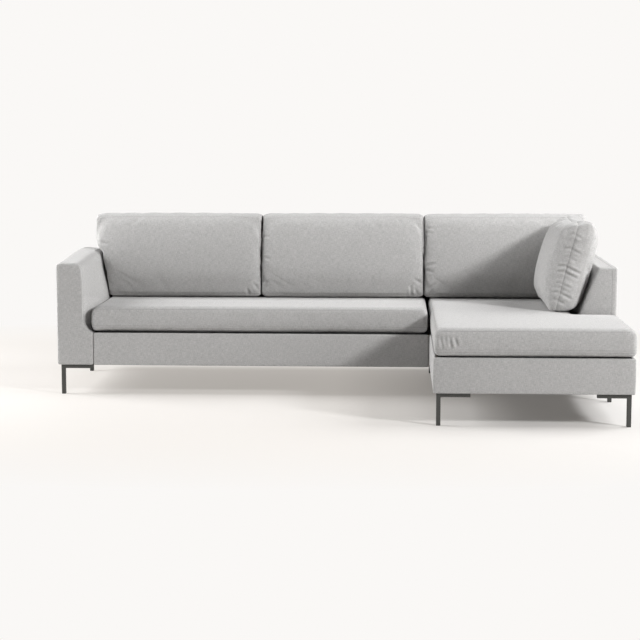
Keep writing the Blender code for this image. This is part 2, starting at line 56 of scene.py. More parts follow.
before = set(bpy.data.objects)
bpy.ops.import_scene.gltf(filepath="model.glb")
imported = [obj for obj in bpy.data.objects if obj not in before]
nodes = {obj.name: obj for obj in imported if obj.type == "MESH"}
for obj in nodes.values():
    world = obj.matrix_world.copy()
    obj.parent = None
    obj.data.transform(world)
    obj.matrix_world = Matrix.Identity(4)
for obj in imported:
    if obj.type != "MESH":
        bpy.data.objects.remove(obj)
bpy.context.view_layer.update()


def points_of(piece, attribute="co"):
    """The piece's mesh points, one row each."""
    flat = np.empty(len(piece.data.vertices) * 3)
    piece.data.vertices.foreach_get(attribute, flat)
    return flat.reshape(-1, 3)


def normals_of(piece):
    """The directions that the piece's mesh points face."""
    return points_of(piece, "normal")


def move_points(piece, points):
    """Puts the piece's mesh points in new places."""
    piece.data.vertices.foreach_set("co", points.ravel())
    piece.data.update()


def place_in_scene(name, data):
    """A new object in the scene that shows a mesh, a lamp or a camera."""
    holder = bpy.data.objects.new(name, data)
    bpy.context.scene.collection.objects.link(holder)
    return holder


def add_piece(name, mesh, material, body="sofa_frame", stands_for=()):
    """Adds a mesh to the scene as a piece that rides on a body."""
    piece = place_in_scene(name, mesh)
    mesh.materials.clear()
    mesh.materials.append(material)
    for face in mesh.polygons:
        face.use_smooth = True
    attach(piece, body)
    if stands_for:
        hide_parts(*stands_for)
    return piece


def settle_modifiers(piece):
    """Makes the mesh that the modifiers give the piece's own."""
    bpy.context.view_layer.update()
    shaped = piece.evaluated_get(bpy.context.evaluated_depsgraph_get())
    mesh = bpy.data.meshes.new_from_object(shaped)
    piece.modifiers.clear()
    piece.data = mesh
    for face in mesh.polygons:
        face.use_smooth = True


def rise(value, start, end):
    """Nought before the start, one past the end, and a smooth turn between them."""
    share = np.clip((value - start) / (end - start), 0, 1)
    return share * share * (3 - 2 * share)


def bell(value, width=1.0):
    """One at nought, and falling off on both sides over the width."""
    return np.exp(-(value / width) ** 2)


# Materials

# Sockets of the colour mix node: its two colours and its result
MIX_FIRST, MIX_SECOND, MIX_RESULT = 6, 7, 2


class Graph:
    """A material's node graph, with short calls for the nodes that repeat."""

    def __init__(self, name):
        self.material = bpy.data.materials.new(name)
        self.material.use_nodes = True
        self.tree = self.material.node_tree
        self.shader = self.tree.nodes["Principled BSDF"]
        place = self.tree.nodes.new("ShaderNodeTexCoord")
        self.at = place.outputs["Object"]
        self.normal = place.outputs["Normal"]

    def link(self, source, target):
        self.tree.links.new(source, target)

    def feed(self, node, index, value):
        """Puts a number, a vector or another node's output into one input."""
        if isinstance(value, bpy.types.NodeSocket):
            self.link(value, node.inputs[index])
        else:
            node.inputs[index].default_value = value

    def add(self, kind, *values, **settings):
        """A new node with its settings, and with values in its first inputs."""
        node = self.tree.nodes.new(kind)
        for key, setting in settings.items():
            setattr(node, key, setting)
        for index, value in enumerate(values):
            self.feed(node, index, value)
        return node

    def math(self, operation, *values):
        return self.add("ShaderNodeMath", *values, operation=operation).outputs[0]

    def times(self, first, second):
        return self.math("MULTIPLY", first, second)

    def plus(self, first, second):
        return self.math("ADD", first, second)

    def weigh(self, first, first_weight, second, second_weight):
        """The sum of two values, each times its weight."""
        return self.plus(self.times(first, first_weight), self.times(second, second_weight))

    def vector(self, operation, *values):
        node = self.add("ShaderNodeVectorMath", *values, operation=operation)
        return node.outputs["Value" if operation == "LENGTH" else "Vector"]

    def split(self, vector):
        return self.add("ShaderNodeSeparateXYZ", vector).outputs

    def join(self, x, y, z):
        return self.add("ShaderNodeCombineXYZ", x, y, z).outputs[0]

    def noise(self, vector, scale=1.0, detail=2.0, roughness=0.5):
        node = self.add("ShaderNodeTexNoise", vector)
        for key, value in (("Scale", scale), ("Detail", detail), ("Roughness", roughness)):
            self.feed(node, key, value)
        return node.outputs[0]

    def spread(self, value, low, high, new_low=0.0, new_high=1.0):
        return self.add("ShaderNodeMapRange", value, low, high, new_low, new_high).outputs[0]

    def mix(self, share, first, second):
        node = self.add("ShaderNodeMix", share, data_type="RGBA")
        self.feed(node, MIX_FIRST, first)
        self.feed(node, MIX_SECOND, second)
        return node.outputs[MIX_RESULT]

    def paint(self, share, first, second):
        """Colours the surface with a blend of two colours."""
        self.link(self.mix(share, (*first, 1), (*second, 1)), self.shader.inputs["Base Color"])

    def tint(self, share, colour, dark, light):
        """Colours the surface between a dark and a light shade of one colour, each a factor of it."""
        dark_shade, light_shade = ([part * factor for part in colour] for factor in (dark, light))
        self.paint(share, dark_shade, light_shade)

    def bump(self, height, distance, strength):
        node = self.add("ShaderNodeBump")
        for key, value in (("Strength", strength), ("Distance", distance), ("Height", height)):
            self.feed(node, key, value)
        self.link(node.outputs[0], self.shader.inputs["Normal"])

    def set(self, **values):
        """Numbers for the shader's own inputs, by their names in lower case."""
        for name, value in values.items():
            self.shader.inputs[name.replace("_", " ").title()].default_value = value

    def pick(self, switch, first, second):
        """The first value where the switch is one, and the second where it is nought."""
        return self.weigh(switch, first, self.math("SUBTRACT", 1.0, switch), second)

    def on_surface(self):
        """Two coordinates along the surface, in metres, picked by the axis that it faces most."""
        x, y, z = self.split(self.at)
        facing_x, facing_y, facing_z = self.split(self.vector("ABSOLUTE", self.normal))
        side = self.math("GREATER_THAN", facing_x, self.math("MAXIMUM", facing_y, facing_z))
        flat = self.math("GREATER_THAN", facing_z, self.math("MAXIMUM", facing_x, facing_y))
        return self.pick(side, y, x), self.pick(flat, y, z)

    def weave(self, across, upward, thread):
        """The height of a plain weave, from -1 to 1, for the pitch of its threads."""
        waves = [self.math("SINE", self.times(place, 2 * pi / thread)) for place in (across, upward)]
        return self.times(*waves)


def melange_cloth(name, colour):
    """A soft plain weave of mixed light and dark yarns."""
    graph = Graph(name)
    across, upward = graph.on_surface()

    def yarn(along, beside, layer):
        """Long thin flecks that follow one direction of the weave."""
        stretched = graph.join(graph.times(along, 55.0), graph.times(beside, 420.0), layer)
        return graph.noise(stretched, detail=1.0)

    warp = yarn(upward, across, layer=0.0)
    weft = yarn(across, upward, layer=7.0)
    weave = graph.weave(across, upward, thread=0.0016)
    fleck = graph.pick(graph.math("GREATER_THAN", weave, 0.0), warp, weft)
    patch = graph.noise(graph.at, scale=38.0, detail=3.0, roughness=0.6)
    broad = graph.noise(graph.at, scale=3.0)
    tone = graph.plus(graph.weigh(fleck, 0.80, patch, 0.13), graph.times(broad, 0.07))
    graph.tint(graph.spread(tone, low=0.36, high=0.64), colour, dark=0.80, light=1.20)
    height = graph.weigh(graph.math("ABSOLUTE", weave), 0.6, fleck, 0.8)
    graph.bump(height, distance=0.0005, strength=0.55)
    graph.set(roughness=0.92, sheen_weight=0.22, sheen_roughness=0.5)
    graph.shader.inputs["Specular IOR Level"].default_value = 0.25
    return graph.material


def thread_material(name, colour):
    """Twisted sewing thread."""
    graph = Graph(name)
    twist = graph.noise(graph.at, scale=900.0, detail=1.0)
    graph.tint(twist, colour, dark=0.8, light=1.15)
    graph.bump(twist, distance=0.0003, strength=0.5)
    graph.set(roughness=0.8)
    return graph.material


def coated_metal(name, colour):
    """Dark powder-coated steel: a fine grain, and a little wear in its tone."""
    graph = Graph(name)
    grain = graph.noise(graph.at, scale=1400.0)
    cloud = graph.noise(graph.at, scale=14.0, detail=4.0, roughness=0.6)
    graph.tint(cloud, colour, dark=0.86, light=1.14)
    graph.link(graph.spread(cloud, 0.3, 0.7, new_low=0.42, new_high=0.56), graph.shader.inputs["Roughness"])
    graph.bump(grain, distance=0.0002, strength=0.35)
    graph.set(metallic=0.35)
    return graph.material


def plated_steel(name, dark, light):
    """Zinc-plated steel with a brushed grain along X."""
    graph = Graph(name)
    brushed = graph.noise(graph.vector("MULTIPLY", graph.at, (20.0, 900.0, 1.0)), detail=3.0)
    graph.paint(brushed, dark, light)
    graph.link(graph.spread(brushed, 0.2, 0.8, new_low=0.28, new_high=0.45), graph.shader.inputs["Roughness"])
    graph.bump(brushed, distance=0.0001, strength=0.3)
    graph.set(metallic=0.95)
    return graph.material


def pine(name, dark, light):
    """Sawn pine, its grain along X or Y as the board lies."""
    graph = Graph(name)
    wander = graph.noise(graph.at, scale=2.5)
    rings = graph.weigh(graph.split(graph.at)["Z"], 160.0, wander, 16.0)
    band = graph.spread(graph.math("SINE", rings), low=-1.0, high=1.0)
    fibre = graph.noise(graph.vector("MULTIPLY", graph.at, (12.0, 12.0, 420.0)), detail=3.0)
    graph.paint(graph.weigh(band, 0.5, fibre, 0.5), dark, light)
    graph.bump(fibre, distance=0.0005, strength=0.4)
    graph.set(roughness=0.7)
    return graph.material


def plain_cloth(name, dark, light, thread):
    """A coarse technical cloth, such as webbing or a bonded lining."""
    graph = Graph(name)
    weave = graph.spread(graph.weave(*graph.on_surface(), thread), low=-1.0, high=1.0)
    fuzz = graph.noise(graph.at, scale=260.0, detail=3.0)
    tone = graph.weigh(weave, 0.5, fuzz, 0.5)
    graph.paint(tone, dark, light)
    graph.bump(tone, distance=0.0006, strength=0.5)
    graph.set(roughness=0.95)
    return graph.material


FABRIC = (0.439, 0.433, 0.427)
cover_cloth = melange_cloth("grey_melange_cover_cloth", FABRIC)
cushion_cloth = melange_cloth("grey_melange_cushion_cloth", FABRIC)
# Thread for seams and stitches, darker than the cloth: the thread's own colour, and painted shade for the
# groove that a seam sinks into
thread_and_groove_shade = thread_material("grey_seam_thread", (0.27, 0.265, 0.26))
leg_metal = coated_metal("dark_coated_leg_metal", (0.060, 0.060, 0.056))
steel = plated_steel("zinc_plated_steel", dark=(0.48, 0.49, 0.51), light=(0.62, 0.63, 0.65))
timber = pine("pine_timber", dark=(0.42, 0.27, 0.13), light=(0.70, 0.53, 0.33))
webbing = plain_cloth("elastic_webbing", (0.05, 0.045, 0.04), (0.20, 0.18, 0.16), thread=0.004)
lining = plain_cloth("black_lining", (0.012, 0.012, 0.012), (0.045, 0.045, 0.045), thread=0.0025)


# Seams and stitches

SEAM_STEP = 0.012
SEAM_SINK = 0.2
STITCH_LENGTH = 0.0045
STITCH_PITCH = 0.0075
STITCH_WIDTH = 0.0009


def section(piece, place, direction):
    """The closed line where a plane cuts the piece's surface, as ordered points, the longest if several."""
    cut = bmesh.new()
    cut.from_mesh(piece.data)
    everything = cut.verts[:] + cut.edges[:] + cut.faces[:]
    made = bmesh.ops.bisect_plane(cut, geom=everything, plane_co=place, plane_no=direction)["geom_cut"]
    # A dictionary, because a set's order changes from run to run
    edges = dict.fromkeys(item for item in made if isinstance(item, bmesh.types.BMEdge))
    loops = []
    while edges:
        first, _ = edges.popitem()
        loop = [first.verts[0], first.verts[1]]
        while True:
            following = next((edge for edge in loop[-1].link_edges if edge in edges), None)
            if following is None:
                break
            del edges[following]
            loop.append(following.other_vert(loop[-1]))
        loops.append([vert.co.copy() for vert in loop])
    cut.free()
    return max(loops, key=lambda loop: sum((b - a).length for a, b in zip(loop, loop[1:])))


def even_steps(line, pitch):
    """Points at an even pitch round a closed line of points."""
    line = np.array([tuple(point) for point in line])
    if np.linalg.norm(line[0] - line[-1]) > SAME_PLACE:
        line = np.vstack([line, line[:1]])
    steps = np.linalg.norm(np.diff(line, axis=0), axis=1)
    lengths = np.concatenate([[0], np.cumsum(steps)])
    count = max(2, int(lengths[-1] / pitch))
    wanted = np.linspace(0, lengths[-1], count, endpoint=False)
    return np.stack([np.interp(wanted, lengths, line[:, axis]) for axis in range(3)], axis=1)


def laid_on(piece, places):
    """The places moved to the piece's nearest surface, each with the direction that it faces there."""
    tree = BVHTree.FromPolygons([vert.co for vert in piece.data.vertices],
                                [tuple(face.vertices) for face in piece.data.polygons])
    return [tree.find_nearest(Vector(place))[:2] for place in places]


def seam(name, piece, line, body, radius):
    """A sewn seam: a thin cord half sunk in the surface, round a closed line of points. Its thread is darker
    than the cloth: the thread's own colour, and painted shade for the seam's groove.
    """
    places = laid_on(piece, even_steps(line, SEAM_STEP))
    curve = bpy.data.curves.new(name, "CURVE")
    curve.dimensions = "3D"
    curve.bevel_depth = radius
    curve.bevel_resolution = 1
    spline = curve.splines.new("POLY")
    spline.points.add(len(places) - 1)
    for point, (nearest, normal) in zip(spline.points, places):
        point.co = (*(nearest - normal * radius * SEAM_SINK), 1)
    spline.use_cyclic_u = True
    holder = bpy.data.objects.new(name, curve)
    mesh = bpy.data.meshes.new_from_object(holder)
    bpy.data.objects.remove(holder)
    return add_piece(name, mesh, thread_and_groove_shade, body)


def stitches(name, piece, line, body):
    """A row of short stitches that lie on the surface, round a closed line of points."""
    places = even_steps(line, STITCH_PITCH)
    ahead = np.roll(places, -1, axis=0) - places
    size = Matrix.Diagonal((STITCH_LENGTH, STITCH_WIDTH, STITCH_WIDTH, 1))
    shape = bmesh.new()
    for (nearest, normal), direction in zip(laid_on(piece, places[:-1]), ahead):
        along = Vector(direction)
        along = (along - normal * along.dot(normal)).normalized()
        turn = Matrix((along, normal.cross(along), normal)).transposed().to_4x4()
        bmesh.ops.create_cube(shape, size=1.0, matrix=Matrix.Translation(nearest) @ turn @ size)
    mesh = bpy.data.meshes.new(name)
    shape.to_mesh(mesh)
    shape.free()
    return add_piece(name, mesh, thread_and_groove_shade, body)


# Upholstered panels: the bases, the backs and the right arm

BASE_EDGE = 0.0085
PANEL_STEP = 0.045
WALL_CROWN = 0.0015

# Angles of the edge loops on a rounded edge
ROUND_ANGLES = (45, 30, 15, 0)
SQUARE_ON = 0.7
BACK_SEAM_INSET = 0.024
ARM_STRIP_WIDTH = 0.027


def edge_lines(low, high, radius, step):
    """Places of edge loops along one side of a box: close on its rounded edges, even between them."""
    turned = [radius * (1 - tan(radians(angle))) for angle in ROUND_ANGLES]
    count = max(1, round((high - low - 2 * radius) / step))
    between = [low + radius + (high - low - 2 * radius) * index / count for index in range(1, count)]
    return np.array([*(low + turn for turn in turned), *between, *(high - turn for turn in reversed(turned))])


def lattice_box(lines):
    """The skin of a box on a lattice of lines, as points and faces."""
    sizes = [len(line) for line in lines]
    index = {}
    faces = []
    for axis in range(3):
        first, second = (axis + 1) % 3, (axis + 2) % 3
        for end, flip in ((0, True), (sizes[axis] - 1, False)):
            for i, j in product(range(sizes[first] - 1), range(sizes[second] - 1)):
                ring = []
                for step_i, step_j in ((0, 0), (1, 0), (1, 1), (0, 1)):
                    place = [end] * 3
                    place[first] = i + step_i
                    place[second] = j + step_j
                    ring.append(index.setdefault(tuple(place), len(index)))
                faces.append(ring[::-1] if flip else ring)
    points = [[line[step] for line, step in zip(lines, place)] for place in index]
    return np.array(points), faces


def padded_box(low, high, radius, step=PANEL_STEP, flat_foot=False):
    """A box with round edges and crowned walls, as points and faces. A flat foot's edges stay sharp."""
    low, high = np.array(low, float), np.array(high, float)
    lines = [edge_lines(low[axis], high[axis], radius, step) for axis in range(3)]
    points, faces = lattice_box(lines)
    start = low + radius
    on_foot = np.zeros(len(points), bool)
    if flat_foot:
        start[2] = low[2]
        inside = (points > low) & (points < high)
        on_foot = (points[:, 2] == low[2]) & inside[:, 0] & inside[:, 1]
    inner = np.clip(points, start, high - radius)
    outward = points - inner
    outward /= np.maximum(np.linalg.norm(outward, axis=1), TINY)[:, None]
    share = (points - low) / (high - low)
    bulge = 1 - (2 * share - 1) ** 4
    swell = np.ones(len(points))
    for axis in range(3):
        swell *= np.where(np.abs(outward[:, axis]) > SQUARE_ON, 1.0, bulge[:, axis])
    moved = outward * radius
    moved[:, :2] += outward[:, :2] * (WALL_CROWN * (swell - 1))[:, None]
    return np.where(on_foot[:, None], points, inner + moved), faces


def panel(node, radius, slope_x=0.0, slope_y=0.0, high_slope_x=0.0, **shape):
    """An upholstered panel in the place of a cover's node, with its sides raked where the node's are.

    A slope moves the low X or the low Y side out towards the bottom, by slope times height. The high X side
    has a slope of its own.
    """
    low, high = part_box(node)
    height = high.z - low.z
    low_top = (low.x + slope_x * height, low.y + slope_y * height, low.z)
    points, faces = padded_box(low_top, high, radius, **shape)
    drop = high.z - points[:, 2]
    points[:, 0] += high_slope_x * drop * (points[:, 0] - low.x) / (high.x - low.x)
    for axis, slope in ((0, slope_x), (1, slope_y)):
        share = (high[axis] - points[:, axis]) / (high[axis] - low_top[axis])
        points[:, axis] -= slope * drop * share
    name = node.replace("cover", "upholstery")
    mesh = bpy.data.meshes.new(name)
    mesh.from_pydata([tuple(point) for point in points], [], faces)
    return add_piece(name, mesh, cover_cloth, stands_for=[node])


def build_right_arm():
    """The right arm: a wedge with a narrow outer strip, sewn on in front and on top."""
    node = "right_arm_cover"
    arm = panel(node, radius=0.011, slope_x=ARM_SLOPE, step=0.02, flat_foot=True)
    strip = section(arm, (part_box(node)[1].x - ARM_STRIP_WIDTH, 0, 0), (1, 0, 0))
    seam("right_arm_strip_seam", arm, strip, "sofa_frame", radius=0.0009)


def build_bases():
    """The upholstered fronts, rears and sides of the two bases."""
    for unit in ("main", "chaise"):
        for side in ("front", "rear"):
            panel(f"{unit}_{side}_cover", BASE_EDGE)
    for side in ("left", "right"):
        panel(f"chaise_{side}_cover", BASE_EDGE)


def build_backs():
    """The upholstered backs behind the cushions; the chaise's is raked along the right arm."""
    for unit, rake in (("main", 0.0), ("chaise", -ARM_SLOPE)):
        node = f"{unit}_back_cover"
        back = panel(node, radius=0.020, slope_y=BACK_SLOPE, high_slope_x=rake, flat_foot=True)
        line = section(back, (0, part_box(node)[1].y - BACK_SEAM_INSET, 0), (0, 1, 0))
        seam(f"{unit}_back_seam", back, line, "sofa_frame", radius=0.0009)


# Left arm

# Its section: the rounds of its top, and the shoulder of its foot
TOP_ROUND = 0.046
TOP_INSET = 0.049
TOP_START = 0.110
OUTER_ROUND = 0.018
SHOULDER_DEPTH = 0.022
SHOULDER_RISE = 0.018
SHOULDER_TOP = 0.045
FOOT_TOP = 0.060

# Its soft form: the crown, fall and slump of its top, its round rear end, and the bellies of its inner face
CROWN = 0.030
CROWN_LENGTH = 0.62
REAR_FALL = 0.026
REAR_PART = 0.27
SLUMP = 0.015
REAR_ROUND = 0.03
BELLY = 0.034
BELLY_LENGTH = 0.50
LOW_BELLY = 0.030
BELLY_HEIGHT = 0.44
FACE_DEPTH = 0.03

# How far from the arm's ends its two seams run
LEFT_ARM_SEAMS = {"front": 0.016, "rear": -0.020}


def arc(centre, radius, start, end, steps=5):
    """Points of an arc in a profile, from one angle to another, in degrees."""
    angles = [radians(start + (end - start) * step / steps) for step in range(steps + 1)]
    return [(centre[0] + radius * cos(angle), centre[1] + radius * sin(angle)) for angle in angles]


def extrude_profile(shape, profile, y_low, y_high):
    """Adds a solid to the shape: a profile in X and Z, drawn out along Y."""
    front = [shape.verts.new((x, y_low, z)) for x, z in profile]
    rear = [shape.verts.new((x, y_high, z)) for x, z in profile]
    shape.faces.new(front)
    shape.faces.new(rear[::-1])
    for corners in zip(front, rear, rear[1:] + rear[:1], front[1:] + front[:1]):
        shape.faces.new(corners)


def left_arm_mesh(low, high, inner, deck):
    """The arm with its round top and its wider foot, as two solids that overlap."""
    flare = high.x - inner
    arm = [
        (low.x, low.z), (inner, low.z), (inner, high.z - TOP_START),
        *arc((inner - TOP_INSET, high.z - TOP_ROUND), TOP_ROUND, 0, 90),
        *arc((low.x + OUTER_ROUND, high.z - OUTER_ROUND), OUTER_ROUND, 90, 180),
    ]
    foot = [
        (low.x + flare, low.z), (high.x, low.z), (high.x, deck),
        (inner + SHOULDER_DEPTH, deck + SHOULDER_RISE), (inner, deck + SHOULDER_TOP),
        (low.x + flare, deck + FOOT_TOP),
    ]
    shape = bmesh.new()
    extrude_profile(shape, arm, low.y, high.y)
    extrude_profile(shape, foot, low.y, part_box("main_deck_cloth")[1].y)
    bmesh.ops.recalc_face_normals(shape, faces=shape.faces[:])
    mesh = bpy.data.meshes.new("left_arm_upholstery")
    shape.to_mesh(mesh)
    shape.free()
    return mesh


def shape_left_arm(arm, low, high, inner, deck):
    """Crowns and slumps the arm's top, rounds its rear end and bellies its inner face."""
    points = points_of(arm)
    x, y, z = points.T

    def past_front(start, end):
        return rise(y, low.y + start, low.y + end)

    def near_rear(start, end):
        return rise(y, high.y - start, high.y - end)

    near_top = rise(z, high.z - 0.12, high.z - 0.02)
    inward = np.clip((x - low.x) / (inner - low.x), 0, 1)
    crown = CROWN * past_front(0, CROWN_LENGTH) - REAR_FALL * near_rear(REAR_PART, 0.02)
    slump = SLUMP * inward ** 2 * past_front(0.15, 0.70) * (1 - near_rear(REAR_PART, 0.07))
    past = np.clip(y - (high.y - REAR_ROUND), 0, REAR_ROUND)
    slump += REAR_ROUND - np.sqrt(REAR_ROUND ** 2 - past ** 2)
    low_belly = LOW_BELLY * past_front(0.022, 0.085) * (1 - rise(z, BELLY_HEIGHT, 0.50))
    low_belly *= rise(z, deck, deck + 0.04)
    belly = BELLY * past_front(0, BELLY_LENGTH) * (1 - rise(z, BELLY_HEIGHT, high.z - 0.02))
    belly *= rise(z, deck, deck + 0.05)
    points[:, 2] += near_top * (crown - slump)
    points[:, 0] += np.maximum(low_belly, belly) * (x > inner - FACE_DEPTH)
    move_points(arm, points)


def build_left_arm():
    """The left arm with its foot, as one soft form with a round top and a flared foot."""
    low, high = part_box("left_arm_cover")
    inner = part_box("main_rear_cover")[0].x
    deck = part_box("main_front_cover")[1].z
    mesh = left_arm_mesh(low, high, inner, deck)
    arm = add_piece("left_arm_upholstery", mesh, cover_cloth, stands_for=["left_arm_cover"])
    soften(arm, voxel=0.0065, rounds=4)
    shape_left_arm(arm, low, high, inner, deck)
    finer(arm)
    for (name, step), end in zip(LEFT_ARM_SEAMS.items(), (low.y, high.y)):
        edge = section(arm, (0, end + step, 0), (0, 1, 0))
        seam(f"left_arm_{name}_seam", arm, edge, "sofa_frame", radius=0.0008)


# Cushions

# The cloth of their simulated covers
CLOTH = {"quality": 5, "mass": 0.3, "use_pressure": True, "uniform_pressure_force": 4.0,
         "tension_stiffness": 15, "compression_stiffness": 15, "shear_stiffness": 5, "bending_stiffness": 0.5,
         "shrink_min": 0.0}
CLOTH_FRAMES = 20
LEAST_WEIGHT = 0.02
SLICES = 48

# Strides of the seeded ripples through the noise
RIPPLE_STRIDES = (7.31, 1.7)

# A crease's raised lips, and how it fades at its ends and on surfaces that turn away
LIP_HEIGHT = 0.55
LIP_PLACE = 1.9
CREASE_FULL = 1.15
CREASE_FADE = 0.7
CREASE_REACH = 0.6
CREASE_FACING = 1.5


def soften(piece, voxel, rounds):
    """Remeshes the piece in even cells and rounds its edges."""
    cells = piece.modifiers.new("cells", "REMESH")
    cells.mode = "VOXEL"
    cells.voxel_size = voxel
    smooth = piece.modifiers.new("smooth", "SMOOTH")
    smooth.factor = 0.5
    smooth.iterations = rounds
    settle_modifiers(piece)


def finer(piece):
    """One level of subdivision, kept in the mesh."""
    level = piece.modifiers.new("finer", "SUBSURF")
    level.levels = 1
    level.render_levels = 1
    settle_modifiers(piece)


def cushion_from(node, name, voxel, rounds):
    """A cushion's starting form: its node's solid, remeshed and softened."""
    cushion = add_piece(name, nodes[node].data.copy(), cushion_cloth, body=node,
                        stands_for=[node])
    soften(cushion, voxel, rounds)
    return cushion


def simulate(piece, seam_weights, swell, shrink):
    """Lets the cushion's cover swell as cloth, up to a limit, and shrink along its seams."""
    before = points_of(piece)
    cloth = piece.modifiers.new("cloth", "CLOTH")
    settings = cloth.settings
    for key, value in CLOTH.items():
        setattr(settings, key, value)
    settings.effector_weights.gravity = 0
    group = piece.vertex_groups.new(name="seam")
    for index in np.nonzero(seam_weights > LEAST_WEIGHT)[0]:
        group.add([int(index)], float(seam_weights[index]), "REPLACE")
    settings.vertex_group_shrink = "seam"
    settings.shrink_max = shrink
    cloth.point_cache.frame_start = 1
    cloth.point_cache.frame_end = CLOTH_FRAMES
    for number in range(1, CLOTH_FRAMES + 1):
        bpy.context.scene.frame_set(number)
    settle_modifiers(piece)
    bpy.context.scene.frame_set(1)
    moved = points_of(piece) - before
    length = np.linalg.norm(moved, axis=1)
    moved *= (np.minimum(length, swell) / np.maximum(length, TINY))[:, None]
    move_points(piece, before + moved)


def fit_to(piece, axes, middle, half):
    """Stretches the piece along its own axes until it fills its solid's box again."""
    places = points_of(piece) @ axes.T
    low, high = places.min(axis=0), places.max(axis=0)
    places = (places - (low + high) / 2) * (2 * half / (high - low)) + middle
    move_points(piece, places @ axes)


def corner_inset(from_end, radius):
    """How far a round corner draws a side in, by the distance from the side's end."""
    return radius - np.sqrt(radius ** 2 - np.clip(radius - from_end, 0, radius) ** 2)


def fill_sides(places, along, across, low_side, high_side, low_corner, high_corner):
    """Moves points across, in slices along a cushion, so that its two sides follow the given lines.

    A side is a function that gives its place for a share of the length. Each side has its own corner radius.
    """
    start, end = places[:, along].min(), places[:, along].max()
    middles = start + (end - start) * (np.arange(SLICES) + 0.5) / SLICES
    number = np.clip(((places[:, along] - start) / (end - start) * SLICES).astype(int), 0, SLICES - 1)
    low = np.array([places[number == index, across].min() for index in range(SLICES)])
    high = np.array([places[number == index, across].max() for index in range(SLICES)])
    share = (middles - start) / (end - start)
    from_end = np.minimum(middles - start, end - middles)
    wanted_low = np.array([low_side(value) for value in share]) + corner_inset(from_end, low_corner)
    wanted_high = np.array([high_side(value) for value in share]) - corner_inset(from_end, high_corner)
    now_low, now_high, new_low, new_high = (
        np.interp(places[:, along], middles, line) for line in (low, high, wanted_low, wanted_high))
    places[:, across] = new_low + (places[:, across] - now_low) * (new_high - new_low) / (now_high - now_low)


def ripple(place, seed):
    """A smooth seeded number from -1 to 1."""
    return noise.noise((place, *(seed * stride for stride in RIPPLE_STRIDES)))


def pucker(piece, distance, along, reach, depth, wave, seed):
    """Small folds across a seam that die out with the distance from it."""
    points, normals = points_of(piece), normals_of(piece)
    fold = np.array([ripple(place / wave, seed) for place in along])
    points = points + normals * (depth * fold * np.exp(-np.abs(distance) / reach))[:, None]
    move_points(piece, points)


def crease(piece, start, end, facing, width, depth):
    """A fold pressed into the side that faces one way, from start to end, with a raised lip on each side."""
    points, normals = points_of(piece), normals_of(piece)
    start, end, facing = np.array(start), np.array(end), np.array(facing, float)
    facing /= np.linalg.norm(facing)
    run = end - start
    run -= facing * (run @ facing)
    length = np.linalg.norm(run)
    run /= length
    offset = points - start
    offset -= np.outer(offset @ facing, facing)
    along = offset @ run / length
    beside = np.linalg.norm(offset - np.outer(offset @ run, run), axis=1) / width
    taper = np.clip(CREASE_FULL - np.abs(2 * along - 1), 0, 1) ** CREASE_FADE
    taper *= np.abs(along - 0.5) < CREASE_REACH
    profile = bell(beside) - LIP_HEIGHT * bell(beside - LIP_PLACE)
    facing_share = np.clip(normals @ facing * CREASE_FACING, 0, 1)
    points -= normals * (depth * profile * taper * facing_share)[:, None]
    move_points(piece, points)


# Seat cushions

# The top seam's drop and the band that it draws in, and the heights of the stitched rows
TOP_SEAM_DROP = 0.013
TOP_SEAM_BAND = 0.010
STITCH_ROWS = (0.024, 0.036)
LOW_FOLD_HEIGHT = 0.027
OUT_OF_REACH = 1.0

FRONT_ROLL = 0.0065
FRONT_ROLL_PLACE = 0.045
FRONT_ROLL_REACH = 0.075

# The seat's crown above its rear, and the waves of its lower front edge
SEAT_CROWN = 0.011
EDGE_WAVE = 0.22
EDGE_WAVE_SHARE = 0.3

# Creases at the chaise cushion's left front corner, by their distance from its left side
CHAISE_CREASES = (0.030, 0.048, 0.070, 0.096)


def press_seat(cushion, low, high, lift):
    """Fills the seat's front edge, flattens it below the back cushions and lifts its lower front edge."""
    points = points_of(cushion)
    x, y, z = points.T
    from_front = y - low.y
    from_ends = np.minimum(x - low.x, high.x - x)
    roll = FRONT_ROLL * bell(from_front - FRONT_ROLL_PLACE, FRONT_ROLL_REACH)
    z = z + roll * rise(from_ends, 0.0, 0.05) * rise(z, high.z - 0.05, high.z - 0.01)
    z = np.minimum(z, SEAT_AT_BACK + SEAT_CROWN * (1 - rise(y, 0.16, 0.42)))
    wave = np.array([1 - EDGE_WAVE_SHARE + EDGE_WAVE_SHARE * ripple(place / EDGE_WAVE, 5) for place in x])
    near_edge = np.clip(1 - from_front / 0.06, 0, 1) * np.clip(1 - (z - low.z) / 0.04, 0, 1)
    z = z + lift * wave * near_edge * rise(from_ends, -0.02, 0.10)
    points[:, 2] = np.maximum(z, low.z)
    move_points(cushion, points)


def fold_seat(cushion, low, top_seam, seed):
    """Small folds along the seat's top seam and its stitched rows."""
    points, normals = points_of(cushion), normals_of(cushion)
    sideways = np.linalg.norm(normals[:, :2], axis=1)
    along = np.where(np.abs(normals[:, 0]) > np.abs(normals[:, 1]), points[:, 1], points[:, 0])
    distance = np.where(sideways > 0.3, points[:, 2] - top_seam, OUT_OF_REACH)
    pucker(cushion, distance, along, reach=0.015, depth=0.0014, wave=0.03, seed=seed)
    distance = np.where(sideways > 0.5, points[:, 2] - low.z - LOW_FOLD_HEIGHT, OUT_OF_REACH)
    pucker(cushion, distance, along, reach=0.02, depth=0.0020, wave=0.035, seed=seed + 1)


def crease_chaise(cushion, low, high):
    """Slanted creases on the chaise cushion's front, near its left corner."""
    for index, place in enumerate(CHAISE_CREASES):
        start = (low.x + place, low.y, high.z - 0.024 - 0.006 * index)
        end = (low.x + place + 0.012, low.y, low.z + 0.040 + 0.012 * (index % 2))
        crease(cushion, start, end, (0, -1, 0), width=0.007, depth=0.0045)


